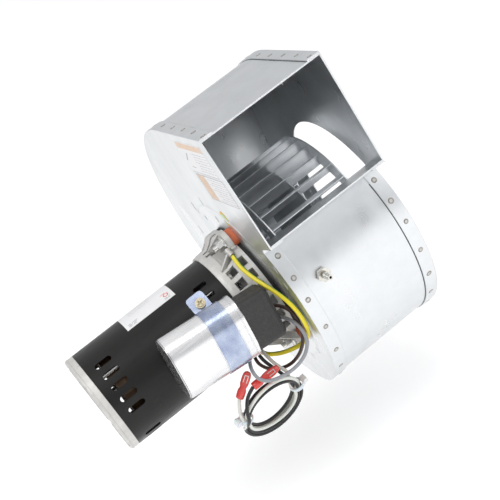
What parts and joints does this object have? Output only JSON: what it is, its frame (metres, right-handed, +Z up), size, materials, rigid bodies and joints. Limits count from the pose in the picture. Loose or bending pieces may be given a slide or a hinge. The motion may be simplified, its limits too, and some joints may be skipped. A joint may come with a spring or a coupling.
{
  "type": "combustion fan",
  "caption": "Sheet-metal scroll blower with a forward-curved wheel on a fractional motor, its run capacitor strapped alongside and wired.",
  "frame": {"origin": "centre of the round inlet opening, on the outer face of the inlet-side plate", "axes": "+X along the shaft, out of the inlet; the outlet looks along -Y; +Z is up"},
  "size_m": [0.262, 0.234, 0.25],
  "materials": {
    "galvanized": "spangled zinc, satin",
    "zinc_wheel": "bright zinc",
    "hub_steel": "turned steel",
    "black_steel": "black oxide",
    "bright_steel": "ground",
    "zinc_hardware": "bright zinc plate",
    "yellow_zinc": "yellow zinc plate",
    "spring_steel": "blued",
    "brass": "turned brass",
    "tinned_terminals": "tinned",
    "orange_rubber": "matte silicone rubber",
    "gasket_rubber": "matte foam rubber",
    "black_rubber": "matte",
    "cast_aluminium": "die cast aluminium, as cast",
    "motor_shell_steel": "black enamel, semi-gloss",
    "lamination": "stacked laminations",
    "copper_winding": "enamelled copper wire",
    "dark_plastic": "fine texture",
    "can_aluminium": "drawn, brushed",
    "lid_plastic": "moulded",
    "label_white": "printed film",
    "label_yellow": "paper dot",
    "wire_ground": "yellow with a green stripe",
    "wire_brown": "insulation",
    "wire_grey": "insulation",
    "wire_black": "insulation",
    "wire_white": "insulation",
    "tie_white": "nylon",
    "red_insulator": "translucent vinyl"
  },
  "bodies": {
    "housing": {"black_disconnect": "red_insulator", "black_lead": "wire_black", "black_lead_tail": "wire_black", "brown_wire": "wire_brown", "cable_ties": "tie_white", "capacitor_boot": "dark_plastic", "capacitor_can": "can_aluminium", "capacitor_element": "lid_plastic", "capacitor_label": "label_white", "capacitor_lid": "lid_plastic", "capacitor_strap": "zinc_hardware", "capacitor_terminals": "tinned_terminals", "front_bearing_outer_race": "bright_steel", "front_end_bell": "cast_aluminium", "grey_wire": "wire_grey", "ground_wire": "wire_ground", "inlet_side_plate": "galvanized", "inspection_sticker": "label_yellow", "isolator_grommets": "orange_rubber", "lead_coil": "wire_black", "lead_grommet": "black_rubber", "lower_label": "label_white", "motor_gasket": "gasket_rubber", "motor_shell": "motor_shell_steel", "motor_side_plate": "galvanized", "motor_studs": "zinc_hardware", "pressure_tap_barb": "brass", "pressure_tap_nut": "brass", "rating_label": "label_white", "rear_bearing_outer_race": "bright_steel", "rear_end_bell": "cast_aluminium", "ring_terminal": "tinned_terminals", "scroll_wrap": "galvanized", "stator_core": "lamination", "stator_windings": "copper_winding", "strap_screw": "yellow_zinc", "stud_nuts": "zinc_hardware", "stud_washers": "zinc_hardware", "thermal_protector": "dark_plastic", "through_bolts": "zinc_hardware", "upper_label": "label_white", "wave_spring": "spring_steel", "white_disconnect": "red_insulator", "white_lead": "wire_white", "white_lead_tail": "wire_white"},
    "rotor": {"shaft": "bright_steel", "rotor_core": "lamination", "rotor_end_rings": "cast_aluminium", "cooling_fan": "dark_plastic", "front_bearing_inner_race": "bright_steel", "rear_bearing_inner_race": "bright_steel", "wheel_hub": "hub_steel", "wheel_set_screws": "black_steel", "hub_rivets": "hub_steel", "wheel_centre_disc": "zinc_wheel", "wheel_blades": "zinc_wheel", "wheel_motor_ring": "zinc_wheel", "wheel_inlet_ring": "zinc_wheel"},
    "front_balls": {"front_bearing_balls": "bright_steel"},
    "rear_balls": {"rear_bearing_balls": "bright_steel"}
  },
  "joints": [
    {"name": "rotor_spin", "type": "hinge", "parent": "housing", "child": "rotor", "pos_m": [0, 0, 0], "axis": [1, 0, 0], "continuous": true},
    {"name": "front_balls_spin", "type": "hinge", "parent": "housing", "child": "front_balls", "pos_m": [-0.1145, 0, 0], "axis": [1, 0, 0], "continuous": true},
    {"name": "rear_balls_spin", "type": "hinge", "parent": "housing", "child": "rear_balls", "pos_m": [-0.2515, 0, 0], "axis": [1, 0, 0], "continuous": true}
  ],
  "couplings": [
    {"joint": "front_balls_spin", "follows": "rotor_spin", "ratio": 0.3677},
    {"joint": "rear_balls_spin", "follows": "rotor_spin", "ratio": 0.3677}
  ]
}
